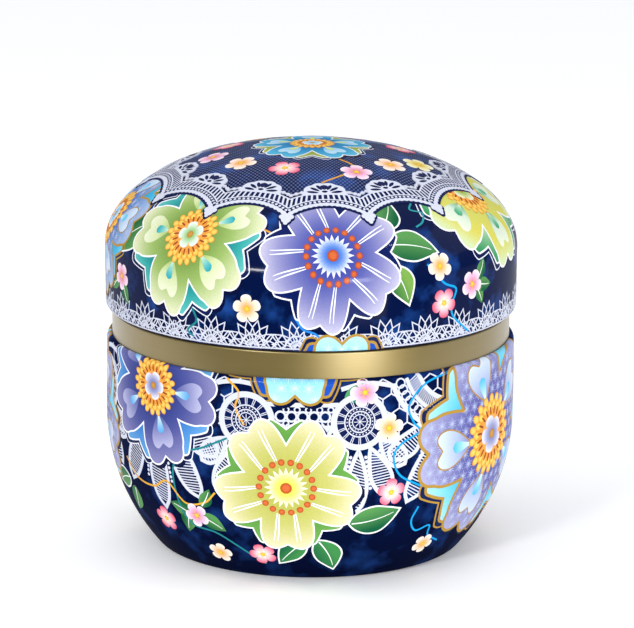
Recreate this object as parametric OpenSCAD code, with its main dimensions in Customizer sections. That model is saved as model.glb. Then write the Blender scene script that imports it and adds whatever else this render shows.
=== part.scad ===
// Round tea caddy: a drawn tinplate cup with a pressed-in neck, a domed
// slip-on lid, and a soft inner lid that plugs the mouth.
// Millimetres, +Z up, origin at the middle of the base.

/* [Overall] */
// Height from the table to the top of the dome
total_h = 82.7; // [78:0.1:90]
// Thickness of the tinplate
sheet = 0.3; // [0.25:0.05:0.4]

/* [Body] */
// Outside diameter of the cup
body_d = 83.4; // [83:0.2:83.8]
// Height of the cup's rolled-in rim
rim_z = 43.7; // [40:0.1:45]
// Radius of the long curve that draws the wall in to the base
belly_r = 41; // [36:1:44]
// Angle over which that curve runs, from the wall to the base
belly_angle = 41; // [38:1:44]
// Radius of the corner round the base
heel_r = 2; // [1.2:0.2:3]
// Depth of the pressed panel in the base
base_recess = 0.6; // [0.3:0.1:1]

/* [Neck] */
// Outside diameter of the gold band
band_d = 81.4; // [81:0.1:81.8]
// Height of the ledge that the lid stands on
ledge_z = 49.2; // [48:0.1:50]
// Outside diameter of the collar that goes up inside the lid
collar_d = 79.4; // [78.6:0.1:79.6]
// Height of the mouth
mouth_z = 58.5; // [57:0.5:60]

/* [Lid] */
// Outside diameter of the lid
lid_d = 84; // [83.8:0.1:85]
// Height at which the lid's wall turns into the dome
shoulder_z = 62.2; // [61:0.1:64]
// Radius of the lid's rolled lower edge
edge_r = 1.4; // [1:0.1:1.8]
// Gap between that edge and the ledge
seat_gap = 0.1; // [0.05:0.05:0.3]
// Radial gap between the lid's hem and the collar
slip_gap = 0.15; // [0.1:0.05:0.3]

/* [Inner lid] */
// Thickness of the inner lid's skin
skin = 0.9; // [0.7:0.1:1.2]
// How far its skirt reaches down below the flange
skirt_depth = 7.5; // [7:0.5:8]
// How far the dished panel lies below the flange
dish_depth = 5.5; // [4:0.5:6]
// Radial gap between the skirt and the mouth
plug_gap = 0.15; // [0.1:0.05:0.3]
// Width of the pull tab
tab_w = 20; // [14:1:26]
// Height of the pull tab above the panel
tab_h = 7; // [6:0.5:9]
// Thickness of the pull tab
tab_t = 1.6; // [1.2:0.1:2]

/* [Hidden] */
$fn = 96;

navy = "#16255c";
gold = "#c9b270";
milky = "#eceadf";

body_r = body_d / 2;
band_r = band_d / 2;
collar_r = collar_d / 2;
lid_r = lid_d / 2;

// Cup: the belly curve leaves the wall at belly_z and meets the heel at heel_x
belly_x = body_r - belly_r;
belly_z = (belly_r - heel_r) * sin(belly_angle) + heel_r;
heel_x = belly_x + (belly_r - heel_r) * cos(belly_angle);
panel_r = heel_x - 4;
panel_slope = 1.2;

// The cup's rim and the neck's foot roll in together round one circle
roll_r = body_r - band_r;
roll_z = rim_z - roll_r;
roll_steps = 6;
foot_z = rim_z - 5;

// Neck
ledge_r = 0.5;
hem_r = 0.45;
mouth_r = collar_r - 2 * hem_r;

// Lid
lid_edge_z = ledge_z + seat_gap;
slide_r = collar_r + slip_gap;
slide_h = 0.7;
dome_h = total_h - shoulder_z;

// Inner lid
plug_r = mouth_r - plug_gap;
flange_r = collar_r - 0.2;
flange_z = mouth_z + 0.05;
panel_z = flange_z - dish_depth;
bead_r = 1.3;

// Points of an arc round (cx, cz), from angle a to angle b
function arc(cx, cz, r, a, b, steps) = [
    for (i = [0 : steps])
        let (t = a + (b - a) * i / steps)
            [cx + r * cos(t), cz + r * sin(t)]
];

// Points of a quarter ellipse, from its side at height z up to its top
function dome(rx, rz, z, steps) = [
    for (i = [0 : steps])
        let (t = 90 * i / steps)
            [rx * cos(t), z + rz * sin(t)]
];

// A sheet's half section: out along one face and back along the other
module spun(outside, inside) {
    last = len(inside) - 1;
    rotate_extrude()
        polygon(concat(outside, [for (i = [last : -1 : 0]) inside[i]]));
}

// The cup's faces, from the middle of the base up to the rim:
// inset is 0 for the outside and the sheet's thickness for the inside
function cup_face(inset) = concat(
    [[0, base_recess + inset]],
    [[panel_r - panel_slope, base_recess + inset]],
    [[panel_r, inset]],
    arc(heel_x, heel_r, heel_r - inset, -90, -belly_angle, 5),
    arc(belly_x, belly_z, belly_r - inset, -belly_angle, 0, 16),
    arc(band_r, roll_z, roll_r - inset, 0, 90, roll_steps)
);

module body_shell() {
    color(navy)
        spun(cup_face(0), cup_face(sheet));
}

// The neck's outside: foot, roll, band, ledge, collar and the mouth's hem
neck_outside = concat(
    [[body_r - sheet, foot_z]],
    arc(band_r, roll_z, roll_r - sheet, 0, 90, roll_steps),
    arc(band_r - ledge_r, ledge_z - ledge_r, ledge_r, 0, 90, 5),
    [[collar_r, ledge_z]],
    arc(collar_r - hem_r, mouth_z - hem_r, hem_r, 0, 270, 12)
);

// The neck's inside, one sheet further in
neck_inside = concat(
    [[body_r - 2 * sheet, foot_z]],
    arc(band_r, roll_z, roll_r - 2 * sheet, 0, 90, roll_steps),
    [[band_r - sheet, roll_z + roll_r - 2 * sheet]],
    arc(band_r - ledge_r, ledge_z - ledge_r, ledge_r - sheet, 0, 90, 5),
    [[collar_r - sheet, ledge_z - sheet]],
    [[collar_r - sheet, mouth_z - 2 * hem_r]]
);

module neck_ring() {
    color(gold)
        spun(neck_outside, neck_inside);
}

// Finger tab: a fin across the panel with a round bead along its top
module pull_tab() {
    top_z = panel_z + skin + tab_h;
    bead_z = top_z - bead_r;
    translate([-tab_w / 2, -tab_t / 2, panel_z + skin / 2])
        cube([tab_w, tab_t, bead_z - panel_z - skin / 2]);
    translate([-tab_w / 2, 0, bead_z])
        rotate([0, 90, 0])
            cylinder(r = bead_r, h = tab_w);
    for (side = [-1, 1])
        translate([side * tab_w / 2, 0, bead_z])
            sphere(bead_r);
}

// Soft moulded plug: a flange on the mouth, a skirt inside it, a dished panel
module inner_lid() {
    color(milky)
        union() {
            rotate_extrude()
                polygon([
                    [0, panel_z],
                    [plug_r - skin, panel_z],
                    [plug_r - skin, flange_z - skirt_depth],
                    [plug_r, flange_z - skirt_depth],
                    [plug_r, flange_z],
                    [flange_r, flange_z],
                    [flange_r, flange_z + skin],
                    [plug_r - skin, flange_z + skin],
                    [plug_r - skin, panel_z + skin],
                    [0, panel_z + skin]
                ]);
            pull_tab();
        }
}

// The lid's outside: sliding hem, rolled edge, wall and dome
lid_outside = concat(
    [[slide_r, lid_edge_z + slide_h]],
    [[slide_r, lid_edge_z]],
    arc(lid_r - edge_r, lid_edge_z + edge_r, edge_r, -90, 0, 6),
    dome(lid_r, dome_h, shoulder_z, 24)
);

lid_inside = concat(
    [[slide_r + sheet, lid_edge_z + slide_h]],
    [[slide_r + sheet, lid_edge_z + sheet]],
    arc(lid_r - edge_r, lid_edge_z + edge_r, edge_r - sheet, -90, 0, 6),
    dome(lid_r - sheet, dome_h - sheet, shoulder_z, 24)
);

module lid_shell() {
    color(navy)
        spun(lid_outside, lid_inside);
}

body_shell();
neck_ring();
inner_lid();
lid_shell();
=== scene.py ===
import math

import bpy
import numpy as np
from mathutils import Matrix, Vector


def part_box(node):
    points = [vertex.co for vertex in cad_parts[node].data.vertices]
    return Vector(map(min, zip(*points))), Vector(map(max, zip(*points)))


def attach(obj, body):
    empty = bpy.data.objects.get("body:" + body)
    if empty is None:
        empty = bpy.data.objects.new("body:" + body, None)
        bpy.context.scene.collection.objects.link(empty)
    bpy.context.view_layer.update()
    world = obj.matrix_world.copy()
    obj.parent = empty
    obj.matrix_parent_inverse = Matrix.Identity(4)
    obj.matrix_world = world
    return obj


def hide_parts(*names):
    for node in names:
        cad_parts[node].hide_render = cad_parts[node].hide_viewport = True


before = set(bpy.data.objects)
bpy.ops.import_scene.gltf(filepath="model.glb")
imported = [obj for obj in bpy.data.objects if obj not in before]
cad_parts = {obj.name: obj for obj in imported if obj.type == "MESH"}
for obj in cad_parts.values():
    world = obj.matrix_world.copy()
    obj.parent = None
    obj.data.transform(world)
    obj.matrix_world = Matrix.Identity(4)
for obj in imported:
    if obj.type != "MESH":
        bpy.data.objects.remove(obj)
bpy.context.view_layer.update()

# ---------------------------------------------------------------- camera
# A long lens about 80 cm away and a little above the caddy, with the small
# tilt that a hand-levelled tripod leaves.
camera_reach = 0.800
camera_height = 0.2394
camera_shift_right = 0.00126
camera_pitch = math.radians(13.52)
camera_tilt = math.radians(0.5)
lens_mm = 227.66877

camera_data = bpy.data.cameras.new("product_camera")
camera_data.sensor_width = 36.0
camera_data.lens = lens_mm
camera_data.clip_start = 0.05
camera_data.clip_end = 20.0
camera = bpy.data.objects.new("product_camera", camera_data)
camera.matrix_world = (
    Matrix.Translation((camera_shift_right, -camera_reach, camera_height))
    @ Matrix.Rotation(math.pi / 2 - camera_pitch, 4, "X")
    @ Matrix.Rotation(camera_tilt, 4, "Z")
)
bpy.context.collection.objects.link(camera)
bpy.context.scene.camera = camera

# ---------------------------------------------------------------- studio
# A flat white table whose front edge lies close before the caddy, three
# softboxes low in front, one on each side, and a white tent all round.
bpy.context.scene.view_settings.view_transform = "Standard"


def deselect():
    for item in bpy.context.selected_objects:
        item.select_set(False)


def linear(hex_colour):
    """sRGB hex to linear red, green, blue."""
    channels = [int(hex_colour[i:i + 2], 16) / 255 for i in (1, 3, 5)]
    return [c / 12.92 if c <= 0.04045 else ((c + 0.055) / 1.055) ** 2.4 for c in channels]


def add_node(tree, kind, settings=None, **links):
    """Adds a node; settings are its attributes or inputs, links are in0=socket and so on."""
    made = tree.nodes.new(kind)
    for key, value in (settings or {}).items():
        if isinstance(key, str) and hasattr(made, key):
            setattr(made, key, value)
        else:
            made.inputs[key].default_value = value
    for key, socket in links.items():
        tree.links.new(socket, made.inputs[int(key[2:])])
    return made


def new_material(name):
    """An empty node material with its output node."""
    material = bpy.data.materials.new(name)
    material.use_nodes = True
    material.node_tree.nodes.clear()
    output = material.node_tree.nodes.new("ShaderNodeOutputMaterial")
    return material, material.node_tree, output


# Painted board, matt white: barely any gloss and the faintest roller texture.
# A little light of its own keeps it as white as an overlit table top.
board, tree, output = new_material("board_matt_white_paint")
grain = add_node(tree, "ShaderNodeTexNoise", {"Scale": 900.0, "Detail": 2.0})
shader = add_node(tree, "ShaderNodeBsdfPrincipled", {
    "Base Color": (*linear("#f6f7f8"), 1), "Roughness": 0.62, "Specular IOR Level": 0.25,
    "Emission Color": (*linear("#ffffff"), 1), "Emission Strength": 0.18})
bump = add_node(tree, "ShaderNodeBump", {"Strength": 0.03, "Distance": 0.0002}, in2=grain.outputs[0])
tree.links.new(bump.outputs[0], shader.inputs["Normal"])
tree.links.new(shader.outputs[0], output.inputs[0])

deselect()
table_edge_y = -0.115
bpy.ops.mesh.primitive_plane_add(size=6.0, location=(0, 3.0 + table_edge_y, 0))
table = bpy.context.object
table.name = "white_table"
bpy.ops.object.transform_apply(location=True, scale=True)
table.data.materials.append(board)


def softbox(name, azimuth_deg, elevation_deg, reach, size, watts, colour):
    """A rectangular lamp aimed at the caddy's middle; azimuth 0 is the camera's side."""
    azimuth, elevation = math.radians(azimuth_deg), math.radians(elevation_deg)
    middle = Vector((0, 0, 0.045))
    away = Vector((math.sin(azimuth) * math.cos(elevation), -math.cos(azimuth) * math.cos(elevation),
                   math.sin(elevation)))
    data = bpy.data.lights.new(name, "AREA")
    data.shape = "RECTANGLE"
    data.size, data.size_y = size
    data.energy = watts
    data.color = linear(colour)
    lamp = bpy.data.objects.new(name, data)
    lamp.location = middle + away * reach
    lamp.rotation_euler = (-away).to_track_quat("-Z", "Y").to_euler()
    bpy.context.collection.objects.link(lamp)


softbox("softbox_key", -30, 22, 0.95, (0.16, 0.06), 3.6, "#ffffff")
softbox("softbox_fill", 25, -2, 0.95, (0.56, 0.40), 3.3, "#ffffff")
softbox("softbox_sheen", 25, 4, 0.95, (0.20, 0.12), 3.0, "#ffffff")
softbox("softbox_left", -95, 40, 1.0, (0.5, 0.5), 1.2, "#fbfcff")
softbox("softbox_right", 95, 35, 1.0, (0.5, 0.5), 1.0, "#fbfcff")

# The room is a white tent: bright overhead, dimmer towards its sides, and dark
# where it opens for the camera.
world = bpy.data.worlds.new("white_tent")
bpy.context.scene.world = world
world.use_nodes = True
sky = world.node_tree
way = add_node(sky, "ShaderNodeTexCoord").outputs["Generated"]
parts = add_node(sky, "ShaderNodeSeparateXYZ", {}, in0=way)
height_light = add_node(sky, "ShaderNodeMapRange", {1: -0.1, 2: 0.9, 3: 0.13, 4: 1.12}, in0=parts.outputs[2])
opening = add_node(sky, "ShaderNodeMapRange", {1: -0.95, 2: -0.2, 3: 0.25, 4: 1.0}, in0=parts.outputs[1])
strength = add_node(sky, "ShaderNodeMath", {"operation": "MULTIPLY"},
                    in0=height_light.outputs[0], in1=opening.outputs[0])
sky.nodes["Background"].inputs[0].default_value = (*linear("#fbfcff"), 1)
sky.links.new(strength.outputs[0], sky.nodes["Background"].inputs[1])

# ---------------------------------------------------------------- cup
# The cup is deep-drawn from one sheet of tinplate that was printed flat: the
# wall runs down into a long belly curve, a tight heel and a pressed panel.
# Its rim is rolled in over the neck's foot.

# Sizes are in millimetres, and MM turns them to metres.
MM = 0.001
sheet = 0.3
cup_r = 41.7
cup_rim_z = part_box("body_shell")[1][2] / MM
band_r = 40.7
belly_r = 41.0
belly_angle = math.radians(41.0)
heel_r = 2.0
base_recess = 0.6
panel_step = 4.0
panel_slope = 1.2
belly_x = cup_r - belly_r
belly_z = (belly_r - heel_r) * math.sin(belly_angle) + heel_r
heel_x = belly_x + (belly_r - heel_r) * math.cos(belly_angle)
roll_r = cup_r - band_r
roll_z = cup_rim_z - roll_r


def arc(centre, radius, start, end, steps):
    """Points of an arc in the half section (distance from the axis, height), in radians."""
    turn = np.linspace(start, end, steps + 1)
    return np.column_stack((centre[0] + radius * np.cos(turn), centre[1] + radius * np.sin(turn)))


def divided(outline, length=6):
    """Cuts the long straight stretches of a half section into pieces of about one length."""
    points = [outline[0]]
    for a, b in zip(outline[:-1], outline[1:]):
        cuts = max(1, int(np.hypot(*(b - a)) / length))
        points += [a + (b - a) * (k + 1) / cuts for k in range(cuts)]
    return np.array(points)


def spun(name, outside, inside, turns=192):
    """Spins a sheet's half section, out along one face and back along the other."""
    section = np.vstack((divided(np.vstack(outside)), divided(np.vstack(inside))[::-1])) * MM
    open_at_axis = section[0][0] < 1e-9 and section[-1][0] < 1e-9
    count = len(section)
    edges = [(i, i + 1) for i in range(count - 1)] + ([] if open_at_axis else [(count - 1, 0)])
    mesh = bpy.data.meshes.new(name)
    mesh.from_pydata([(r, 0, z) for r, z in section], edges, [])
    piece = bpy.data.objects.new(name, mesh)
    bpy.context.collection.objects.link(piece)
    deselect()
    piece.select_set(True)
    bpy.context.view_layer.objects.active = piece
    bpy.ops.object.mode_set(mode="EDIT")
    bpy.ops.mesh.select_all(action="SELECT")
    bpy.ops.mesh.spin(steps=turns, angle=2 * math.pi, center=(0, 0, 0), axis=(0, 0, 1))
    bpy.ops.mesh.select_all(action="SELECT")
    bpy.ops.mesh.remove_doubles(threshold=1e-6)
    bpy.ops.mesh.normals_make_consistent(inside=False)
    bpy.ops.object.mode_set(mode="OBJECT")
    bpy.ops.object.shade_smooth_by_angle(angle=math.radians(35))
    return piece


def cup_face(inset):
    """The cup's half section, from the middle of the base up to the rim."""
    return [
        [[0, base_recess + inset]],
        [[heel_x - panel_step - panel_slope, base_recess + inset]],
        [[heel_x - panel_step, inset]],
        arc((heel_x, heel_r), heel_r - inset, -math.pi / 2, -belly_angle, 10),
        arc((belly_x, belly_z), belly_r - inset, -belly_angle, 0, 40)[1:],
        arc((band_r, roll_z), roll_r - inset, 0, math.pi / 2, 12),
    ]


# Tinplate under navy printing ink and a clear gloss varnish: cloudy lighter
# blue in the ground, darkened by painted shade to nearly black towards the
# base, and a soft net of blue dots round the top of the lid. The varnish adds
# a smooth coat with a faint stoving ripple.
tulle_reach = 27.6 * MM
tulle_pitch = (0.85 * MM, 1.35 * MM)


def printed_tinplate(name, dark, light, coat, net):
    """The sheet's print: two blues of the ground, the varnish's weight, and the net or none."""
    material, tree, output = new_material(name)
    place = add_node(tree, "ShaderNodeTexCoord").outputs["Object"]
    cloud = add_node(tree, "ShaderNodeTexNoise", {"Scale": 170.0, "Detail": 3.0, "Roughness": 0.5},
                     in0=place)
    patches = add_node(tree, "ShaderNodeValToRGB", {}, in0=cloud.outputs[0])
    patches.color_ramp.elements[0].position = 0.50
    patches.color_ramp.elements[0].color = (*linear(dark), 1)
    patches.color_ramp.elements[1].position = 0.78
    patches.color_ramp.elements[1].color = (*linear(light), 1)
    split = add_node(tree, "ShaderNodeSeparateXYZ", {}, in0=place)
    # Painted shade: the ground's colour darkens towards the base, down to 0.45 at the foot.
    rise = add_node(tree, "ShaderNodeMapRange", {1: 0.002, 2: 0.030, 3: 0.45, 4: 1.0}, in0=split.outputs[2])
    ground = add_node(tree, "ShaderNodeMix", {"data_type": "RGBA", "blend_type": "MULTIPLY", 0: 1.0})
    tree.links.new(patches.outputs[0], ground.inputs[6])
    tree.links.new(rise.outputs[0], ground.inputs[7])
    colour = ground.outputs[2]
    if net:
        waves = []
        for axis in (0, 1):
            threads = 2 * math.pi / tulle_pitch[axis]
            angle = add_node(tree, "ShaderNodeMath", {"operation": "MULTIPLY", 1: threads},
                             in0=split.outputs[axis])
            waves.append(add_node(tree, "ShaderNodeMath", {"operation": "SINE"}, in0=angle.outputs[0]))
        weave = add_node(tree, "ShaderNodeMath", {"operation": "MULTIPLY"},
                         in0=waves[0].outputs[0], in1=waves[1].outputs[0])
        knots = add_node(tree, "ShaderNodeMapRange", {1: -0.1, 2: 0.55, 3: 0.0, 4: 0.5}, in0=weave.outputs[0])
        flat = add_node(tree, "ShaderNodeCombineXYZ", {}, in0=split.outputs[0], in1=split.outputs[1])
        reach = add_node(tree, "ShaderNodeVectorMath", {"operation": "LENGTH"}, in0=flat.outputs[0])
        inside = add_node(tree, "ShaderNodeMath", {"operation": "LESS_THAN", 1: tulle_reach},
                          in0=reach.outputs["Value"])
        amount = add_node(tree, "ShaderNodeMath", {"operation": "MULTIPLY"},
                          in0=knots.outputs[0], in1=inside.outputs[0])
        netted = add_node(tree, "ShaderNodeMix", {"data_type": "RGBA", 7: (*linear("#6f7fb4"), 1)})
        tree.links.new(amount.outputs[0], netted.inputs[0])
        tree.links.new(colour, netted.inputs[6])
        colour = netted.outputs[2]
    ripple = add_node(tree, "ShaderNodeTexNoise", {"Scale": 260.0, "Detail": 1.0}, in0=place)
    shader = add_node(tree, "ShaderNodeBsdfPrincipled", {
        "Roughness": 0.4, "Specular IOR Level": 0.0,
        "Coat Weight": coat, "Coat Roughness": 0.1, "Coat IOR": 1.3})
    tree.links.new(colour, shader.inputs["Base Color"])
    bump = add_node(tree, "ShaderNodeBump", {"Strength": 0.04, "Distance": 0.0002}, in2=ripple.outputs[0])
    tree.links.new(bump.outputs[0], shader.inputs["Normal"])
    tree.links.new(shader.outputs[0], output.inputs[0])
    return material


# Bare tinplate inside, under a thin gold-tinted food lacquer: fine rolling
# grain and a soft metal sheen.
lacquered_tin, tree, output = new_material("tinplate_gold_food_lacquer")
place = add_node(tree, "ShaderNodeTexCoord").outputs["Object"]
rolled = add_node(tree, "ShaderNodeTexNoise", {"Scale": 700.0, "Detail": 4.0}, in0=place)
tint = add_node(tree, "ShaderNodeValToRGB", {}, in0=rolled.outputs[0])
tint.color_ramp.elements[0].color = (*linear("#b9ab7c"), 1)
tint.color_ramp.elements[1].color = (*linear("#d6cba3"), 1)
shader = add_node(tree, "ShaderNodeBsdfPrincipled", {"Metallic": 1.0, "Roughness": 0.36})
tree.links.new(tint.outputs[0], shader.inputs["Base Color"])
tree.links.new(shader.outputs[0], output.inputs[0])


def finish_shell(piece, outer, inner, middle_z):
    """Gives a shell its printed outside and lacquered inside."""
    piece.data.materials.append(outer)
    piece.data.materials.append(inner)
    middle = Vector((0, 0, middle_z * MM))
    for face in piece.data.polygons:
        if face.normal.dot(face.center - middle) < 0:
            face.material_index = 1


# The cup's ground carries that painted shade towards its base.
cup_ground = printed_tinplate("tinplate_navy_print_gloss_varnish", "#04113a", "#1b438c", 0.06, False)
cup = spun("cup_shell", cup_face(0.0), cup_face(sheet))
finish_shell(cup, cup_ground, lacquered_tin, 24.0)
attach(cup, "body")
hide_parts("body_shell")

# ---------------------------------------------------------------- neck
# The neck is one spun ring of gold-lacquered tinplate: a foot held by the
# cup's rolled rim, the band that shows, a ledge for the lid, and a collar
# whose top is hemmed inwards.
ledge_z = 49.2
ledge_r = 0.5
collar_r = 39.7
mouth_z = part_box("neck_ring")[1][2] / MM
hem_r = 0.45
foot_gap = 0.02
foot_z = cup_rim_z - 5.0

neck_outside = [
    [[cup_r - sheet - foot_gap, foot_z]],
    arc((band_r - foot_gap, roll_z), roll_r - sheet, 0, math.pi / 2, 10),
    [[band_r, cup_rim_z - 0.3]],
    arc((band_r - ledge_r, ledge_z - ledge_r), ledge_r, 0, math.pi / 2, 10),
    [[collar_r, ledge_z]],
    arc((collar_r - hem_r, mouth_z - hem_r), hem_r, 0, math.pi * 1.5, 24),
]
neck_inside = [
    [[cup_r - 2 * sheet, foot_z]],
    arc((band_r - foot_gap, roll_z), roll_r - 2 * sheet, 0, math.pi / 2, 10),
    [[band_r - sheet, cup_rim_z - 2 * sheet]],
    arc((band_r - ledge_r, ledge_z - ledge_r), ledge_r - sheet, 0, math.pi / 2, 10),
    [[collar_r - sheet, ledge_z - sheet]],
    [[collar_r - sheet, mouth_z - 2 * hem_r]],
]
neck = spun("neck_band", neck_outside, neck_inside)

# Gold stoving lacquer over tinplate: a satin metal whose sheet was rolled
# round the ring, so its grain runs round it in fine streaks.
gold, tree, output = new_material("tinplate_gold_lacquer_satin")
place = add_node(tree, "ShaderNodeTexCoord").outputs["Object"]
stretched = add_node(tree, "ShaderNodeMapping", {"Scale": (60.0, 60.0, 2600.0)}, in0=place)
grain = add_node(tree, "ShaderNodeTexNoise", {"Scale": 1.0, "Detail": 3.0}, in0=stretched.outputs[0])
tone = add_node(tree, "ShaderNodeValToRGB", {}, in0=grain.outputs[0])
tone.color_ramp.elements[0].color = (*linear("#8c7a48"), 1)
tone.color_ramp.elements[1].color = (*linear("#94824e"), 1)
worn = add_node(tree, "ShaderNodeMapRange", {3: 0.43, 4: 0.47}, in0=grain.outputs[0])
shader = add_node(tree, "ShaderNodeBsdfPrincipled", {
    "Metallic": 1.0, "Coat Weight": 1.0, "Coat Roughness": 0.3})
tree.links.new(tone.outputs[0], shader.inputs["Base Color"])
tree.links.new(worn.outputs[0], shader.inputs["Roughness"])
tree.links.new(shader.outputs[0], output.inputs[0])
neck.data.materials.append(gold)
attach(neck, "body")
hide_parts("neck_ring")

# ---------------------------------------------------------------- inner lid
# The inner lid is one moulding of milky polyethylene: a flange that lies on
# the mouth, a skirt inside it, a dished panel, and a beaded tab to pull.
skin = 0.9
flange_z = mouth_z + 0.05
flange_r = collar_r - 0.2
plug_r = collar_r - 2 * hem_r - 0.15
skirt_z = flange_z - 7.5
panel_z = flange_z - 5.5
soft_r = 0.35
tab_w, tab_t, tab_h = 20.0, 1.6, 7.0
bead_r = 1.3

inner_face = [
    [[0, panel_z]],
    [[plug_r - skin - 0.6, panel_z]],
    [[plug_r - skin, panel_z - 0.5]],
    [[plug_r - skin, skirt_z + soft_r]],
    arc((plug_r - skin / 2, skirt_z + skin / 2), skin / 2, math.pi, 2 * math.pi, 8),
    [[plug_r, flange_z]],
    arc((flange_r - skin / 2, flange_z + skin / 2), skin / 2, -math.pi / 2, math.pi / 2, 8),
    arc((plug_r - skin + 0.5, flange_z + skin - 0.5), 0.5, math.pi / 2, math.pi, 5),
    arc((plug_r - skin - 0.8, panel_z + skin + 0.8), 0.8, 0, -math.pi / 2, 6),
    [[0, panel_z + skin]],
]
plug = spun("inner_lid_plug", inner_face, [inner_face[-1]])

deselect()
bpy.ops.mesh.primitive_cube_add(size=1.0, location=(0, 0, (panel_z + skin + tab_h / 2 - 0.9) * MM))
tab = bpy.context.object
tab.name = "pull_tab"
tab.scale = (tab_w * MM, tab_t * MM, (tab_h - 1.2) * MM)
bpy.ops.object.transform_apply(location=True, scale=True)
bpy.ops.object.mode_set(mode="EDIT")
bpy.ops.mesh.select_all(action="SELECT")
bpy.ops.mesh.bevel(offset=0.35 * MM, segments=3)
bpy.ops.object.mode_set(mode="OBJECT")
bpy.ops.mesh.primitive_uv_sphere_add(
    segments=24, ring_count=16, radius=bead_r * MM, location=(0, 0, (panel_z + skin + tab_h - bead_r) * MM))
bead = bpy.context.object
bead.name = "pull_tab_bead"
bpy.ops.object.transform_apply(location=True)
for point in bead.data.vertices:
    point.co.x += math.copysign(tab_w / 2 * MM, point.co.x) if abs(point.co.x) > 1e-7 else 0.0

# Moulded low-density polyethylene: waxy, milky and a little see-through, with
# the fine frost of the mould on it.
milky, tree, output = new_material("polyethylene_moulded_milky")
place = add_node(tree, "ShaderNodeTexCoord").outputs["Object"]
frost = add_node(tree, "ShaderNodeTexNoise", {"Scale": 1400.0, "Detail": 2.0}, in0=place)
haze = add_node(tree, "ShaderNodeTexNoise", {"Scale": 60.0, "Detail": 2.0}, in0=place)
tint = add_node(tree, "ShaderNodeValToRGB", {}, in0=haze.outputs[0])
tint.color_ramp.elements[0].color = (*linear("#e4e2d6"), 1)
tint.color_ramp.elements[1].color = (*linear("#f1f0e8"), 1)
shader = add_node(tree, "ShaderNodeBsdfPrincipled", {
    "Roughness": 0.42, "IOR": 1.51, "Subsurface Weight": 0.35, "Subsurface Scale": 0.002})
tree.links.new(tint.outputs[0], shader.inputs["Base Color"])
bump = add_node(tree, "ShaderNodeBump", {"Strength": 0.12, "Distance": 0.0001}, in2=frost.outputs[0])
tree.links.new(bump.outputs[0], shader.inputs["Normal"])
tree.links.new(shader.outputs[0], output.inputs[0])
for piece in (plug, tab, bead):
    piece.data.materials.append(milky)
    deselect()
    piece.select_set(True)
    bpy.context.view_layer.objects.active = piece
    bpy.ops.object.shade_smooth_by_angle(angle=math.radians(40))
    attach(piece, "inner_lid")
    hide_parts("inner_lid")

# ---------------------------------------------------------------- lid
# The lid is drawn from one printed sheet: a flat elliptical dome, a short
# straight wall, and a lower edge rolled in to a hem that slides on the collar.
lid_r = 42.0
shoulder_z = 62.2
lid_top_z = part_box("lid_shell")[1][2] / MM
dome_h = lid_top_z - shoulder_z
lid_edge_z = ledge_z + 0.1
edge_r = 1.4
edge_top_z = lid_edge_z + edge_r
slide_r = collar_r + 0.15
slide_h = 0.7


def lid_face(inset):
    """The lid's half section, from the hem out round the edge and up to the top."""
    turn = np.linspace(0, math.pi / 2, 61)
    dome = np.column_stack((
        (lid_r - inset) * np.cos(turn), shoulder_z + (dome_h - inset) * np.sin(turn)))
    dome[-1][0] = 0.0
    return [
        [[slide_r + inset, lid_edge_z + slide_h]],
        [[slide_r + inset, lid_edge_z + inset]],
        arc((lid_r - edge_r, edge_top_z), edge_r - inset, -math.pi / 2, 0, 12),
        dome,
    ]


lid_ground = printed_tinplate("tinplate_navy_print_gloss_varnish_lid", "#04123c", "#1c4690", 0.3, True)
lid = spun("lid_shell_printed", lid_face(0.0), lid_face(sheet))
finish_shell(lid, lid_ground, lacquered_tin, 56.0)
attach(lid, "lid")
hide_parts("lid_shell")

# ---------------------------------------------------------------- ink films
# The print is opaque inks laid one over the other on the sheet. Each motif is
# drawn flat in millimetres, x to the right and y up, laid on the drawn shell
# at its place, and given the thickness of an ink film.

# A film's top stands at its level over the sheet, and its foot a little inside.
film_foot = -0.02


def point_on_cup(azimuth, rise):
    """Outside of the cup at an azimuth in radians and a height along the sheet, in mm."""
    bend = np.clip((belly_z - rise) / belly_r, 0.0, belly_angle + 0.02)
    over = np.clip((rise - roll_z) / roll_r, 0.0, math.pi / 2)
    lean = over - bend
    reach = np.where(over > 0, band_r + roll_r * np.cos(over), belly_x + belly_r * np.cos(bend))
    height = np.where(over > 0, roll_z + roll_r * np.sin(over), rise)
    height = np.where(bend > 0, belly_z - belly_r * np.sin(bend), height)
    return turned(azimuth, reach, height, np.cos(lean), np.sin(lean))


def turned(azimuth, reach, height, out, up):
    """Points and normals in space from half-section values."""
    east, north = np.sin(azimuth), -np.cos(azimuth)
    points = np.column_stack((reach * east, reach * north, height))
    normals = np.column_stack((out * east, out * north, up + 0.0 * reach))
    return points, normals


dome_turns = np.linspace(0, math.pi / 2, 721)
dome_steps = np.hypot(lid_r * np.sin(dome_turns), dome_h * np.cos(dome_turns))
dome_steps = dome_steps * (dome_turns[1] - dome_turns[0])
dome_run = np.concatenate(([0.0], np.cumsum((dome_steps[1:] + dome_steps[:-1]) / 2)))
dome_length = dome_run[-1]


def point_on_lid(azimuth, fall):
    """Outside of the lid at an azimuth in radians and a fall along the sheet from its top, in mm."""
    turn = np.interp(dome_length - fall, dome_run, dome_turns)
    down = np.maximum(fall - dome_length, 0.0)
    wall = shoulder_z - edge_top_z
    under = np.clip((down - wall) / edge_r, 0.0, 1.5)
    out = np.cos(turn) / lid_r
    up = np.sin(turn) / dome_h
    size = np.hypot(out, up)
    reach = lid_r * np.cos(turn) - edge_r * (1 - np.cos(under))
    height = shoulder_z + dome_h * np.sin(turn) - np.minimum(down, wall) - edge_r * np.sin(under)
    return turned(azimuth, reach, height, np.where(under > 0, np.cos(under), out / size),
                  np.where(under > 0, -np.sin(under), up / size))


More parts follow.
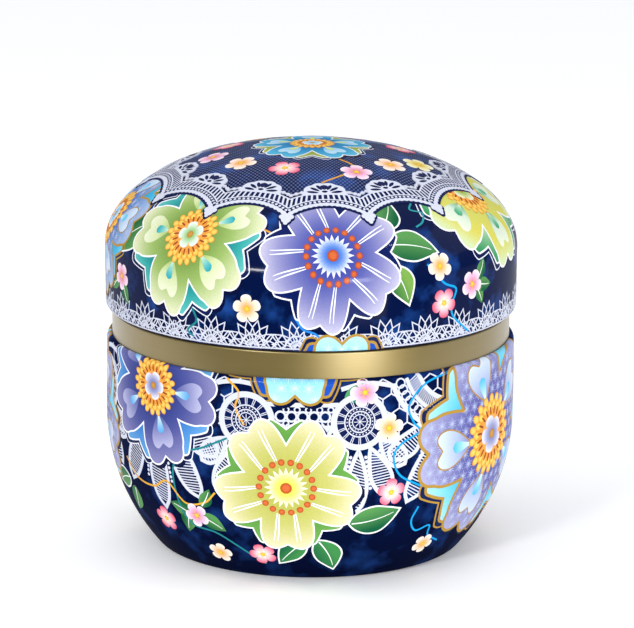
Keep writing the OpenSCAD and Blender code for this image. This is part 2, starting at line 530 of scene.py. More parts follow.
def patch(point_on, azimuth_deg, along, sense):
    """Lays flat artwork on the shell by way of the cone that touches it at one point."""
    azimuth = math.radians(azimuth_deg)
    start, normal = point_on(np.array([azimuth]), np.array([along], float))
    reach = math.hypot(start[0][0], start[0][1])
    lean = math.copysign(max(abs(normal[0][2]), 1e-4), normal[0][2])
    cone = reach / lean

    def lay(flat):
        away = cone - flat[:, 1]
        slant = math.copysign(1.0, cone) * np.hypot(flat[:, 0], away)
        return point_on(azimuth + np.arctan(flat[:, 0] / away) / lean, along + sense * (cone - slant))

    return lay


def on_lid(azimuth_deg, fall):
    return patch(point_on_lid, azimuth_deg, fall, -1)


def lid_fall(rise):
    """Distance down the sheet from the lid's top to a height."""
    turn_up = math.asin(min(max((rise - shoulder_z) / dome_h, 0.0), 1.0))
    return dome_length - np.interp(turn_up, dome_turns, dome_run) + max(shoulder_z - rise, 0.0)


def cup_run(rise):
    """Height along the sheet for a height in space."""
    if rise >= belly_z:
        return rise
    return belly_z - belly_r * math.asin((belly_z - rise) / belly_r)


def on_cup(azimuth_deg, rise):
    return patch(point_on_cup, azimuth_deg, cup_run(rise), 1)


def over_top(flat):
    """Lays artwork drawn as seen from above, its origin at the lid's top."""
    return point_on_lid(np.arctan2(flat[:, 0], -flat[:, 1]), np.hypot(flat[:, 0], flat[:, 1]))


def round_lid(flat):
    """Lays a strip round the lid: x runs along the wall, y up from the lower edge's fold."""
    return point_on_lid(flat[:, 0] / lid_r, dome_length + shoulder_z - edge_top_z - flat[:, 1])


def round_cup(flat):
    """Lays a strip round the cup: x is the run along the wall, y the height along the sheet."""
    return point_on_cup(flat[:, 0] / cup_r, flat[:, 1])


def moved(lay, right, up):
    """The same way of laying, with the artwork moved first."""
    return lambda flat: lay(flat + [right, up])


def stretched(lay, wide, high):
    """The same way of laying, with the artwork stretched first."""
    return lambda flat: lay(flat * [wide, high])


class Artwork:
    """Flat patches of ink: points, colours, levels in mm, and faces."""

    def __init__(self):
        self.points, self.colours, self.levels, self.faces = [], [], [], []
        self.count = 0

    def add(self, points, colours, level, faces):
        self.points.append(points)
        self.colours.append(colours)
        self.levels.append(np.full(len(points), level))
        self.faces += [[i + self.count for i in face] for face in faces]
        self.count += len(points)

    def cut(self, line):
        """Adds an edge to every face that a horizontal line crosses."""
        points, colours = np.vstack(self.points), np.vstack(self.colours)
        levels = np.concatenate(self.levels)
        points[np.abs(points[:, 1] - line) < 2e-3, 1] = line
        above = points[:, 1] - line
        extra, made, faces = [], {}, []
        for face in self.faces:
            heights = [above[i] for i in face]
            if max(heights) <= 0 or min(heights) >= 0:
                faces.append(face)
                continue
            upper, lower = [], []
            for a, b in zip(face, face[1:] + face[:1]):
                if above[a] >= 0:
                    upper.append(a)
                if above[a] <= 0:
                    lower.append(a)
                if above[a] * above[b] < 0:
                    key = (min(a, b), max(a, b))
                    if key not in made:
                        made[key] = len(points) + len(extra)
                        extra.append((key[0], key[1], above[key[0]] / (above[key[0]] - above[key[1]])))
                    upper.append(made[key])
                    lower.append(made[key])
            faces += [half for half in (upper, lower) if len(half) > 2]
        if extra:
            a, b, share = (np.array(column) for column in zip(*extra))
            blend = [values[a] + (values[b] - values[a]) * (share[:, None] if values.ndim > 1 else share)
                     for values in (points, colours, levels)]
            blend[0][:, 1] = line
            points, colours = np.vstack((points, blend[0])), np.vstack((colours, blend[1]))
            levels = np.concatenate((levels, blend[2]))
        self.points, self.colours, self.levels, self.faces = [points], [colours], [levels], faces
        self.count = len(points)
        return self

    def trimmed(self, low=None, high=None, folds=()):
        """Cuts the artwork off below and above, and cuts it finely where the sheet is folded."""
        for line in (*folds, low, high):
            if line is not None:
                self.cut(line)
        y = np.vstack(self.points)[:, 1]
        if low is not None:
            self.faces = [f for f in self.faces if max(y[i] for i in f) > low + 1e-4]
        if high is not None:
            self.faces = [f for f in self.faces if min(y[i] for i in f) < high - 1e-4]
        return self


def fade(*stops, reach=1.0, middle=(0.0, 0.0)):
    """Colour by the distance from a middle: stops are (share of reach, hex colour)."""
    shares = [share for share, _ in stops]
    tints = np.array([[int(tint[i:i + 2], 16) / 255 for i in (1, 3, 5)] for _, tint in stops])

    def colour(points):
        share = np.hypot(points[:, 0] - middle[0], points[:, 1] - middle[1]) / reach
        mixed = np.column_stack([np.interp(share, shares, tints[:, k]) for k in range(3)])
        return np.where(mixed <= 0.04045, mixed / 12.92, ((mixed + 0.055) / 1.055) ** 2.4)

    return colour


def tinted(colour, points):
    return colour(points) if callable(colour) else np.tile(linear(colour), (len(points), 1))


def smooth(points, steps=6, closed=False):
    """A curve through the points."""
    p = np.array(points, float)
    p = np.vstack((p[-1:], p, p[:2])) if closed else np.vstack((2 * p[0] - p[1], p, 2 * p[-1] - p[-2]))
    t = (np.arange(steps) / steps)[:, None]
    out = [0.5 * (2 * b + (c - a) * t + (2 * a - 5 * b + 4 * c - d) * t ** 2
                  + (3 * b - a - 3 * c + d) * t ** 3)
           for a, b, c, d in zip(p[:-3], p[1:-2], p[2:-1], p[3:])]
    return np.vstack(out if closed else out + [p[-2:-1]])


def dense(path, width=1.0, closed=False):
    """The path with its points at most 0.8 mm apart, and the width at each."""
    p = np.array(path, float)
    width = np.asarray(width) * np.ones(len(p))
    if closed:
        p, width = np.vstack((p, p[:1])), np.append(width, width[0])
    run = np.concatenate(([0.0], np.cumsum(np.hypot(*np.diff(p, axis=0).T))))
    stops = [np.linspace(a, b, max(1, math.ceil((b - a) / 0.8)), endpoint=False)
             for a, b in zip(run[:-1], run[1:])]
    stops = np.concatenate(stops if closed else stops + [run[-1:]])
    return np.column_stack([np.interp(stops, run, p[:, k]) for k in (0, 1)]), np.interp(stops, run, width)


def stroke(art, path, width, colour, level, closed=False):
    """A line of ink of one width, or a width at each point."""
    p, width = dense(path, width, closed)
    if closed:
        ahead, behind = np.roll(p, -1, 0) - p, p - np.roll(p, 1, 0)
    else:
        step = np.diff(p, axis=0)
        ahead, behind = np.vstack((step, step[-1:])), np.vstack((step[:1], step))
    ahead = ahead / np.maximum(np.linalg.norm(ahead, axis=1), 1e-9)[:, None]
    behind = behind / np.maximum(np.linalg.norm(behind, axis=1), 1e-9)[:, None]
    run = ahead + behind
    size = np.maximum(np.linalg.norm(run, axis=1), 0.9)
    side = np.column_stack((-run[:, 1], run[:, 0])) / size[:, None] * (2 / size)[:, None]
    half = side * (width / 2)[:, None]
    n = len(p)
    points = np.vstack((p - half, p + half))
    spans = [(i, (i + 1) % n) for i in range(n if closed else n - 1)]
    art.add(points, tinted(colour, points), level, [(a, b, b + n, a + n) for a, b in spans])


def fill(art, outline, colour, level, rings=3, middle=None):
    """A shape filled from its middle to its outline."""
    p = dense(outline, closed=True)[0]
    x, y = p[:, 0], p[:, 1]
    if np.sum(x * np.roll(y, -1) - np.roll(x, -1) * y) < 0:
        p = p[::-1]
    middle = p.mean(0) if middle is None else np.array(middle, float)
    n = len(p)
    points = np.vstack([middle[None]] + [middle + (p - middle) * k / rings for k in range(1, rings + 1)])
    faces = [(0, 1 + i, 1 + (i + 1) % n) for i in range(n)]
    for k in range(rings - 1):
        a, b = 1 + k * n, 1 + (k + 1) * n
        faces += [(a + i, b + i, b + (i + 1) % n, a + (i + 1) % n) for i in range(n)]
    art.add(points, tinted(colour, points), level, faces)


def round_points(middle, radius, sides, start=0.0, stop=2 * math.pi):
    """Points round a circle."""
    turn = start + (stop - start) * np.arange(sides) / sides
    return np.column_stack((middle[0] + radius * np.cos(turn), middle[1] + radius * np.sin(turn)))


def dots(art, middles, radius, rim, heart, level, sides=10):
    """Round beads of ink, darker at the rim."""
    for middle in middles:
        ink = fade((0, heart), (0.45, heart), (1, rim), reach=radius, middle=middle)
        fill(art, round_points(middle, radius, sides), ink, level, 2, middle)


def placed(points, turn_deg=0.0, move=(0.0, 0.0), size=1.0):
    """Turns, scales and moves flat points."""
    turn = math.radians(turn_deg)
    p = np.array(points, float) * size
    return np.column_stack((p[:, 0] * math.cos(turn) - p[:, 1] * math.sin(turn) + move[0],
                            p[:, 0] * math.sin(turn) + p[:, 1] * math.cos(turn) + move[1]))


def mirrored(half):
    """A whole outline from its upper half, drawn from base to tip along +x."""
    half = np.array(half, float)
    return np.vstack((half, (half * [1, -1])[::-1][1:-1]))


def make_film(name, body, layers, ink, below=1000.0):
    """Lays each artwork on its shell, up to a height, and closes the films into one thin piece."""
    tops, feet, normals, colours, faces, count = [], [], [], [], [], 0
    for art, lay in layers:
        points, normal = lay(np.vstack(art.points))
        rises = points[:, 2].tolist()
        kept = [f for f in art.faces if min(rises[i] for i in f) < below]
        used = sorted({i for f in kept for i in f})
        new = {old: k + count for k, old in enumerate(used)}
        points, normal = points[used], normal[used]
        tops.append(points + normal * np.concatenate(art.levels)[used][:, None])
        feet.append(points + normal * film_foot)
        normals.append(normal)
        colours.append(np.vstack(art.colours)[used])
        faces += [[new[i] for i in f] for f in kept]
        count += len(used)
    edges = dict.fromkeys((a, b) for f in faces for a, b in zip(f, f[1:] + f[:1]))
    rims = [(a, b) for a, b in edges if (b, a) not in edges]
    under = [[i + count for i in f[::-1]] for f in faces]
    sides = [(b, a, a + count, b + count) for a, b in rims]
    mesh = bpy.data.meshes.new(name)
    mesh.from_pydata((np.vstack(tops + feet) * MM).tolist(), [], faces + under + sides)
    tints = mesh.color_attributes.new("ink", "FLOAT_COLOR", "POINT")
    tone = np.vstack(colours + colours)
    tints.data.foreach_set("color", np.column_stack((tone, np.ones(len(tone)))).ravel())
    mesh.shade_smooth()
    mesh.normals_split_custom_set_from_vertices(np.vstack(normals + normals).tolist())
    mesh.materials.append(ink)
    piece = bpy.data.objects.new(name, mesh)
    bpy.context.collection.objects.link(piece)
    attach(piece, body)
    return piece


# Offset printing inks under gloss varnish: opaque colour with the faint grain
# of the printing screen, and the varnish's smooth coat over it.
def printing_ink(name, grain_share):
    material, tree, output = new_material(name)
    tone = add_node(tree, "ShaderNodeAttribute", {"attribute_name": "ink"})
    place = add_node(tree, "ShaderNodeTexCoord").outputs["Object"]
    screen = add_node(tree, "ShaderNodeTexNoise", {"Scale": 4200.0, "Detail": 1.0}, in0=place)
    shade = add_node(tree, "ShaderNodeMapRange", {1: 0.3, 2: 0.7, 3: 1 - grain_share, 4: 1 + grain_share},
                     in0=screen.outputs[0])
    grained = add_node(tree, "ShaderNodeVectorMath", {"operation": "SCALE"}, in0=tone.outputs["Color"])
    tree.links.new(shade.outputs[0], grained.inputs["Scale"])
    shader = add_node(tree, "ShaderNodeBsdfPrincipled", {
        "Roughness": 0.4, "Specular IOR Level": 0.0,
        "Coat Weight": 0.3, "Coat Roughness": 0.12, "Coat IOR": 1.3})
    tree.links.new(grained.outputs[0], shader.inputs["Base Color"])
    tree.links.new(shader.outputs[0], output.inputs[0])
    return material


colour_ink = printing_ink("offset_ink_colours_gloss_varnish", 0.05)
white_ink = printing_ink("offset_ink_opaque_white", 0.03)

# ---------------------------------------------------------------- large flowers
# Five wide petals, each with a notched tip, over five split sepals. One kind
# has double veins, a ring of beads and a starry middle; the other has a heart
# on each petal and two rows of golden stamens round a small flower.

# Petals and sepals are (degrees from the tip, share of the flower's radius).
# Each ink lies a hundredth of a millimetre or two over the ink under it.
wide_petal = [(36, 0.60), (32.5, 0.67), (28.5, 0.77), (24.5, 0.87), (21, 0.94), (16.5, 0.99), (11, 1.0),
              (5, 0.955), (0, 0.90)]
petal_half = [(36, 0.55), (30.5, 0.68), (25.5, 0.80), (22, 0.86), (19, 0.94), (15, 0.99), (10, 1.0),
              (5.5, 0.97), (2.5, 0.925), (0, 0.885)]
sepal_half = [(24, 0.72), (21.5, 0.85), (18, 0.935), (13, 0.965), (9.5, 0.93), (5, 0.875), (0, 0.815)]
heart_half = [(0.35, 0.0), (0.43, 0.075), (0.54, 0.15), (0.65, 0.185), (0.745, 0.165), (0.785, 0.095),
              (0.725, 0.0)]
drop_half = [(0.33, 0.0), (0.42, 0.025), (0.51, 0.05), (0.57, 0.048), (0.60, 0.0)]
white_edge = "#f3f4fb"
gold_line = "#b08a3a"
gold_dark = "#131f4c"
stamen_rim, stamen_heart = "#d98a26", "#fccb62"


def polar(angles_deg, reaches):
    turn = np.radians(angles_deg)
    return np.column_stack((np.cos(turn), np.sin(turn))) * np.asarray(reaches)[:, None]


def whole_petal(half, size):
    """The petal's edge from gap to gap, as angles and reaches."""
    upper = smooth(half, 3)
    lower = (upper * [-1, 1])[::-1][1:]
    both = np.vstack((upper, lower))[::-1]
    return both[:, 0], both[:, 1] * size


def flower_back(art, size, turn, sepal, edge, edge_width, double):
    """Sepals in the gaps and the outline and ground of the five petals."""
    for k in range(5):
        gap = turn + 36 + 72 * k
        angle, reach = whole_petal(sepal_half, size)
        if double:
            rim = np.vstack((polar(angle + gap, reach * 1.075), polar([gap], [size * 0.5])))
            fill(art, rim, double[1], 0.024, math.ceil(size * 0.45), polar([gap], [size * 0.62])[0])
            stroke(art, polar(angle + gap, reach * 1.075), edge_width * 0.62, double[0], 0.034)
        shape = np.vstack((polar(angle + gap, reach), polar([gap], [size * 0.42])))
        fill(art, shape, sepal, 0.044, math.ceil(size * 0.45), polar([gap], [size * 0.62])[0])
        stroke(art, polar(angle + gap, reach), edge_width, edge, 0.054)


def five_petals(half, size, turn):
    """The outline of five petals as one closed path."""
    angle, reach = whole_petal(half, size)
    return np.vstack([polar(angle[:-1] + turn + 72 * k, reach[:-1]) for k in range(5)])


def petals(art, half, size, turn, ground, edge, edge_width):
    outline = five_petals(half, size, turn)
    fill(art, outline, ground, 0.068, math.ceil(size / 0.9), (0, 0))
    stroke(art, outline, edge_width, edge, 0.08, closed=True)


def beaded_flower(art, size, turn, ground, sepal, star, beads):
    """Petals with paired veins, round a starred middle with a ring of beads."""
    flower_back(art, size, turn, sepal, white_edge, size * 0.023, None)
    petals(art, wide_petal, size, turn, ground, white_edge, size * 0.023)
    for k in range(10):
        lean = 1 if k % 2 else -1
        middle = turn + 72 * (k // 2) + 12.5 * lean
        for side in (-1, 1):
            run = np.linspace(0, 1, 9)
            spread = side * (2.0 - 0.1 * run) + lean * (5.0 * (1 - run) ** 2 - 1.4)
            vein = polar(middle + spread, size * (0.40 + 0.46 * run))
            stroke(art, vein, size * np.interp(run, [0, 0.5, 1], [0.013, 0.022, 0.01]), "#eef0fb", 0.09)
    spikes = 20
    star_reach = np.where(np.arange(2 * spikes) % 2, 0.205, 0.295) * size
    star_edge = polar(np.arange(2 * spikes) * 180 / spikes, star_reach)
    fill(art, star_edge, fade(*star, reach=size), 0.1, 4, (0, 0))
    dots(art, round_points((0, 0), size * 0.365, 18), size * 0.046, beads[0], beads[1], 0.11)
    dots(art, [(0, 0)], size * 0.078, beads[0], beads[1], 0.11, 18)


def stamen_flower(art, size, turn, ground, sepal, heart, drop, middle, edge, edge_share, double):
    """Petals with a heart and a drop each, round golden stamens and a small flower."""
    flower_back(art, size, turn, sepal, edge, size * edge_share, double)
    petals(art, petal_half, size, turn, ground, edge, size * edge_share)
    for k in range(5 if heart else 0):
        way = turn + 72 * k
        shape = placed(mirrored(smooth(heart_half, 4)), way, size=size)
        fill(art, shape, fade(*heart, reach=size), 0.1, 3, polar([way], [size * 0.6])[0])
        if edge == gold_line:
            stroke(art, shape, size * 0.014, edge, 0.106, closed=True)
        shape = placed(mirrored(smooth(drop_half, 4)), way, size=size)
        fill(art, shape, fade(*drop, reach=size), 0.12, 2, polar([way], [size * 0.52])[0])
    amber = fade((0.1, "#f2ae5c"), (0.2, "#eb9c40"), (0.28, "#d08030"), reach=size)
    fill(art, polar(np.arange(60) * 6, np.full(60, size * 0.30)), amber, 0.13, 3, (0, 0))
    for count, reach, level in ((20, 0.335, 0.14), (20, 0.27, 0.15)):
        start = 0 if reach > 0.3 else 9
        for k in range(count):
            way = turn + start + k * 360 / count
            foot = polar([way], [size * reach])[0]
            oval = placed(round_points((0, 0), 1.0, 12) * [0.052, 0.038], way, foot, size)
            ink = fade((0, stamen_heart), (0.5, stamen_heart), (1, stamen_rim),
                       reach=size * 0.05, middle=foot)
            fill(art, oval, ink, level, 2)
    for k in range(20):
        way = turn + 4.5 + k * 18
        stroke(art, polar([way, way + 2], [size * 0.185, size * 0.26]), size * 0.02, "#94401c", 0.158)
    turns = np.arange(60) * 6.0
    small = size * (0.085 + 0.095 * np.sqrt(1 - (np.abs((turns + 36) % 72 - 36) / 36.5) ** 2.4))
    fill(art, polar(turns + turn, small), fade(*middle, reach=size), 0.165, 4, (0, 0))
    dots(art, [(0, 0)], size * 0.045, "#a8732e", "#c9933f", 0.172, 14)


def hemp_stars(art, size, turn, colour):
    """Fine star-shaped lines over the petals, in rows like a hemp-leaf pattern."""
    angle, reach = whole_petal(petal_half, size)
    order = np.argsort(angle)
    pitch = 2.7

    def room(point):
        """How far a point lies inside the petals' edge."""
        local = (math.degrees(math.atan2(point[1], point[0])) - turn + 36) % 72 - 36
        return np.interp(local, angle[order], reach[order]) - math.hypot(*point)

    for row in range(-9, 10):
        for column in range(-9, 10):
            middle = np.array([pitch * (column + 0.5 * (row % 2)), pitch * row * 0.866])
            if math.hypot(*middle) < 0.36 * size or room(middle) < 0.5:
                continue
            for k in range(12):
                tip = middle + polar([k * 30.0], [1.3 if k % 2 else 0.95])[0]
                if room(tip) > 0.35:
                    stroke(art, [middle, tip], [0.12, 0.08], colour, 0.088)


# The flowers of the print by name: kind, radius, turn of the first petal, and inks.
green = dict(ground=fade((0.3, "#739546"), (0.6, "#98b566"), (0.95, "#dbe0ba")),
             sepal=fade((0.45, "#1c6468"), (0.72, "#2f9c9a"), (0.97, "#66bfb8")),
             heart=((0.34, "#9dbb62"), (0.55, "#cfdba6"), (0.78, "#e6ebcf")),
             drop=((0.34, "#e8efd0"), (0.6, "#1f9fae")),
             middle=((0.05, "#8fb86a"), (0.1, "#b9d8b4"), (0.16, "#e6f2ea")))
lavender = dict(ground=fade((0.2, "#3d459c"), (0.45, "#5a60a8"), (0.72, "#8a8abd"), (1.0, "#c6c3da")),
                sepal=fade((0.5, "#0d1a52"), (1.0, "#101f5c")),
                star=((0.05, "#2a5fc0"), (0.17, "#7f9fdf"), (0.24, "#eef0fb")), beads=("#a8401c", "#d26a3a"))
lime = dict(ground=fade((0.25, "#afb050"), (0.55, "#bbbb68"), (0.78, "#cdc98e"), (0.98, "#e2dcba")),
            sepal=fade((0.5, "#4f8a38"), (1.0, "#6fa552")),
            star=((0.05, "#cfd040"), (0.18, "#e2e388"), (0.24, "#f6f6dc")), beads=("#a8401c", "#d26a3a"))
indigo = dict(ground=fade((0.3, "#2b3880"), (0.6, "#4c5294"), (0.98, "#8886b4")),
              sepal=fade((0.5, "#2a6ab8"), (1.0, "#6aa8dc")),
              heart=((0.34, "#46508f"), (0.55, "#7c80b4"), (0.78, "#b4b4d6")),
              drop=((0.34, "#eef3fb"), (0.6, "#4f9fe0")),
              middle=((0.05, "#7d80ae"), (0.11, "#a9acd0"), (0.17, "#eef0f8")))
violet = dict(ground=fade((0.3, "#4f4f9c"), (0.6, "#7476ae"), (0.98, "#a9a8cc")),
              sepal=fade((0.5, "#3aaedd"), (0.75, "#74cae8"), (1.0, "#b4e0ee")),
              heart=((0.34, "#7d84bb"), (0.55, "#a9b8da"), (0.78, "#cfdcec")),
              drop=((0.34, "#f2f8fd"), (0.6, "#4fb4e6")),
              middle=((0.05, "#8083b0"), (0.11, "#a9acd0"), (0.17, "#e4e8f4")))
turquoise = dict(ground=fade((0.3, "#1c6fa8"), (0.6, "#2a8fbf"), (0.98, "#58b4d4")),
                 sepal=fade((0.5, "#7d8f33"), (1.0, "#a8b65c")),
                 heart=((0.34, "#5aa6d0"), (0.55, "#9cc8e4"), (0.78, "#b8dcee")),
                 drop=((0.34, "#dfe8b8"), (0.6, "#bcd06a")),
                 middle=((0.05, "#7fc4e2"), (0.17, "#e6f0f4")))
pale_blue = dict(ground=fade((0.3, "#6cc6ea"), (0.7, "#86d2ee"), (0.98, "#b4e2ee")),
                 sepal=fade((0.5, "#123a9c"), (1.0, "#1d57c0")),
                 heart=None, drop=None, middle=((0.05, "#6cb4e4"), (0.17, "#e0eef8")))
yellow_green = dict(ground=fade((0.3, "#c9cc66"), (0.7, "#d6cf5c"), (0.98, "#cfe0b8")),
                    sepal=fade((0.5, "#cfe3c0"), (0.95, "#2f8a52")),
                    heart=((0.34, "#5fa078"), (0.55, "#cfe0cc"), (0.78, "#e8efd8")),
                    drop=((0.34, "#eef3dc"), (0.6, "#2f9a6a")),
                    middle=((0.05, "#8fae4a"), (0.17, "#eef0cc")))
blue = dict(ground=fade((0.3, "#4a6fb4"), (0.6, "#6f92c8"), (0.98, "#a9c0e0")),
            sepal=fade((0.4, "#1f86b8"), (0.8, "#39b0dc"), (1.0, "#7ed6f0")),
            heart=((0.34, "#86a6d4"), (0.55, "#b4cbe8"), (0.78, "#d3e3f3")),
            drop=((0.34, "#f2f8fd"), (0.6, "#4fb8e4")),
            middle=((0.05, "#6cb4e4"), (0.17, "#e0eef8")))


def sized(inks, size):
    """Sets the grounds of a flower's inks to its size."""
    scaled = {}
    for key, ink in inks.items():
        scaled[key] = (lambda points, ink=ink: ink(points / size)) if callable(ink) else ink
    return scaled


def flower(inks, size, turn, gold=False):
    """One flower over its dark cast shade; gold ones have gold outlines and a star pattern."""
    art = Artwork()
    cast = (0.55, -0.6)
    outline = five_petals(wide_petal if "beads" in inks else petal_half, size * 1.02, turn)
    fill(art, outline[::3] + cast, "#0a1238", 0.026, math.ceil(size / 0.9), cast)
    inks = sized(inks, size)
    if "beads" in inks:
        beaded_flower(art, size, turn, **inks)
    elif gold:
        stamen_flower(art, size, turn, **inks, edge=gold_line, edge_share=0.03,
                      double=(gold_line, gold_dark))
        hemp_stars(art, size, turn, "#b4bfe2" if inks["heart"] else "#d8f0f8")
    else:
        stamen_flower(art, size, turn, **inks, edge=white_edge, edge_share=0.021,
                      double=("#e4e7f3", gold_dark))
    return art


# The doily covers the lid flowers' tips: they stop under it, at this fall from
# the lid's top. The flowers stand a little taller than wide on the lid.
doily_cover = 31.6
doily_z = shoulder_z + dome_h * math.sin(np.interp(dome_length - doily_cover, dome_run, dome_turns))
lid_flowers = [
    ("green", green, -37.8, 70.2, 16.0, -38, False),
    ("lavender", lavender, 6.1, 68.3, 14.8, 41, False),
    ("yellow", yellow_green, 68.5, 75.6, 17.6, -86, False),
    ("blue", blue, -84.0, 68.5, 15.5, 10, True),
    ("back_indigo", indigo, 123.0, 69.5, 15.4, 30, False),
    ("back_lavender", lavender, 168.0, 68.5, 15.0, 5, False),
    ("back_green", green, -129.0, 69.5, 15.2, -20, False),
]
for name, inks, azimuth, rise, size, turn, gold in lid_flowers:
    lay = stretched(on_lid(azimuth, lid_fall(rise)), 0.97, 1.06)
    make_film("print_lid_flower_" + name, "lid", [(flower(inks, size, turn, gold), lay)], colour_ink, doily_z)
make_film("print_lid_flower_top", "lid", [(flower(turquoise, 12.0, -126), over_top)], colour_ink)

rim_lines = roll_z + np.linspace(-0.1, 1.45, 8)
hem_lines = np.linspace(0.1, -1.3, 7)
cup_flowers = [
    ("indigo", indigo, -48.1, 38.9, 16.2, -4, False),
    ("lime", lime, -6.3, 21.6, 14.9, 54, False),
    ("violet", violet, 61.2, 27.5, 22.0, 182, True),
    ("back_lavender", lavender, 106.0, 26.0, 15.0, 20, False),
    ("back_green", green, 143.0, 31.0, 16.5, 30, False),
    ("back_blue", violet, -170.0, 25.0, 18.0, 0, True),
    ("back_lime", lime, -131.0, 22.5, 14.8, 10, False),
    ("side_violet", violet, -93.0, 27.0, 18.5, 55, True),
]
for name, inks, azimuth, rise, size, turn, gold in cup_flowers:
    art = flower(inks, size, turn, gold).trimmed(high=rim_lines[-1] - rise, folds=rim_lines - rise)
    make_film("print_cup_flower_" + name, "body", [(art, on_cup(azimuth, rise))], colour_ink)

# Gold-edged flowers seem to lie across the gap: petal tips show on the lid, from
# a flower centred below its edge, and on the cup, from one centred above its rim.
gold_lid_z = 36.0
gold_cup_z = 56.0
for name, azimuth in (("front", 2.0), ("right", 128.0), ("left", -112.0)):
    lines = hem_lines + edge_top_z - gold_lid_z
    art = flower(pale_blue, 17.0, 90, True).trimmed(low=lines[-1], folds=lines)
    lay = moved(round_lid, math.radians(azimuth + 6.5) * lid_r, gold_lid_z - edge_top_z)
    make_film("print_lid_gold_flower_" + name, "lid", [(art, lay)], colour_ink)
    lines = rim_lines - gold_cup_z
    art = flower(pale_blue, 17.5, -90, True).trimmed(high=lines[-1], folds=lines)
    lay = moved(round_cup, math.radians(azimuth - 6.0) * cup_r, gold_cup_z)
    make_film("print_cup_gold_flower_" + name, "body", [(art, lay)], colour_ink)

# ---------------------------------------------------------------- leaves, blossoms and threads
# Small things fill the ground between the flowers: green leaves with a white
# edge and midrib, five-petalled plum blossoms, and fine winding threads.
leaf_half = [(0.0, 0.0), (0.1, 0.15), (0.3, 0.27), (0.55, 0.28), (0.8, 0.15), (1.0, 0.0)]


def leaf(size, turn, bend, dark="#0f5a38", light="#569350"):
    """A leaf from its foot to its tip, with a pale side."""
    art = Artwork()
    outline = mirrored(smooth(leaf_half, 5))
    outline = outline + np.column_stack((0 * outline[:, 0], bend * (outline[:, 0] ** 2 - outline[:, 0])))
    outline = placed(outline, turn, size=size)
    across = placed([[0, -0.2], [0, 0.25]], turn, size=size)

    def tint(points):
        share = (points @ (across[1] - across[0])) / (size * 0.45) ** 2
        low, high = np.array(linear(dark)), np.array(linear(light))
        return low + (high - low) * np.clip(share + 0.55, 0, 1)[:, None]

    fill(art, outline, tint, 0.032, max(3, int(size * 0.65)))
    if size > 7:
        stroke(art, outline, 0.34, "#f1f4f4", 0.042, closed=True)
    run = np.linspace(0.06, 0.86, 10)
    rib = placed(np.column_stack((run, bend * (run ** 2 - run))), turn, size=size)
    stroke(art, rib, np.linspace(0.3, 0.12, 10), "#eaf3ea", 0.042)
    return art


blossom_inks = {
    "pink": ((0.2, "#d877a8"), (0.55, "#eeb6d4"), (1.0, "#fbe9f1")),
    "peach": ((0.2, "#f2a873"), (0.55, "#f8d4ba"), (1.0, "#fdf3ea")),
    "red": ((0.25, "#fbeef0"), (0.62, "#f2a9b6"), (1.0, "#dd5474")),
    "yellow": ((0.2, "#d8b84a"), (0.6, "#ece2a4"), (1.0, "#f7f3d8")),
}


def blossom(kind, size=2.9, turn=18.0):
    art = Artwork()
    turns = np.arange(80) * 4.5
    local = np.abs((turns + 36) % 72 - 36)
    reach = size * (0.42 + 0.58 * np.sqrt(np.clip(1 - (local / 36.5) ** 2.4, 0, 1)))
    fill(art, polar(turns + turn, reach), fade(*blossom_inks[kind], reach=size), 0.052, 4, (0, 0))
    tips = [polar([turn + k * 72 + lean], [size * 0.44])[0] for k in range(5) for lean in (-14, 0, 14)]
    for tip in tips:
        stroke(art, [tip * 0.5, tip], [0.1, 0.07], "#e9c24a", 0.062)
    dots(art, [(0, 0)], size * 0.2, "#dc9a2c", "#f0cf45", 0.072, 12)
    return art


def thread(route, colour):
    """A winding thread through (azimuth, height) points on a wall."""
    art = Artwork()
    path = smooth(route, 8)
    flat = np.column_stack((np.radians(path[:, 0]) * cup_r, path[:, 1]))
    stroke(art, divided(flat, 0.7), 0.42, colour, 0.04)
    return art


lid_leaves = [
    (leaf(9.0, 62, 0.25), on_lid(21.5, 39.2)),
    (leaf(11.5, -8, -0.2), on_lid(21.8, lid_fall(69.6))),
    (leaf(9.2, -62, -0.25, "#1f6b3e", "#7aa64e"), on_lid(21.8, lid_fall(66.0))),
    (leaf(13.5, 216, 0.2), on_lid(-54.0, lid_fall(71.0))),
    (leaf(7.5, 80, 0.2), on_lid(-69.0, lid_fall(71.5))),
    (leaf(5.0, 60, 0.2), on_lid(51.5, lid_fall(60.5))),
    (leaf(5.0, -10, 0.2), on_lid(51.5, lid_fall(60.0))),
    (leaf(4.6, -60, -0.2), on_lid(51.0, lid_fall(59.5))),
    (leaf(4.8, 215, 0.2), on_lid(-66.0, lid_fall(58.2))),
    (leaf(5.0, 300, 0.2), on_lid(-63.5, lid_fall(58.0))),
]
lid_blossoms = [
    ("peach", -17.2, 57.6, 2.9), ("peach", 37.4, 64.9, 2.9), ("red", 38.6, 57.4, 3.0),
    ("pink", 49.4, 60.0, 3.0), ("pink", -64.2, 58.9, 2.8),
]
top_blossoms = [
    ("peach", -52, 18.2), ("red", -18, 17.5), ("pink", 27, 19.7), ("peach", 56, 19.1),
    ("yellow", 75, 22.5), ("pink", -82, 20.5), ("red", 108, 19.0), ("peach", 140, 20.5),
    ("pink", 176, 18.5), ("yellow", -146, 19.5), ("red", -112, 18.6),
]
for azimuth in (100.0, 147.0, 190.0, -104.0):
    lid_leaves += [
        (leaf(10.0, 40, 0.2), on_lid(azimuth + 2, lid_fall(64.0))),
        (leaf(9.0, -25, -0.2), on_lid(azimuth + 2, lid_fall(63.0))),
        (leaf(8.0, 170, 0.2), on_lid(azimuth - 3, lid_fall(62.0))),
    ]
    lid_blossoms += [
        ("red", azimuth - 7, 56.6, 2.8), ("peach", azimuth + 6, 58.0, 2.9), ("pink", azimuth, 69.5, 2.8)]
make_film("print_lid_leaves", "lid", lid_leaves, colour_ink)
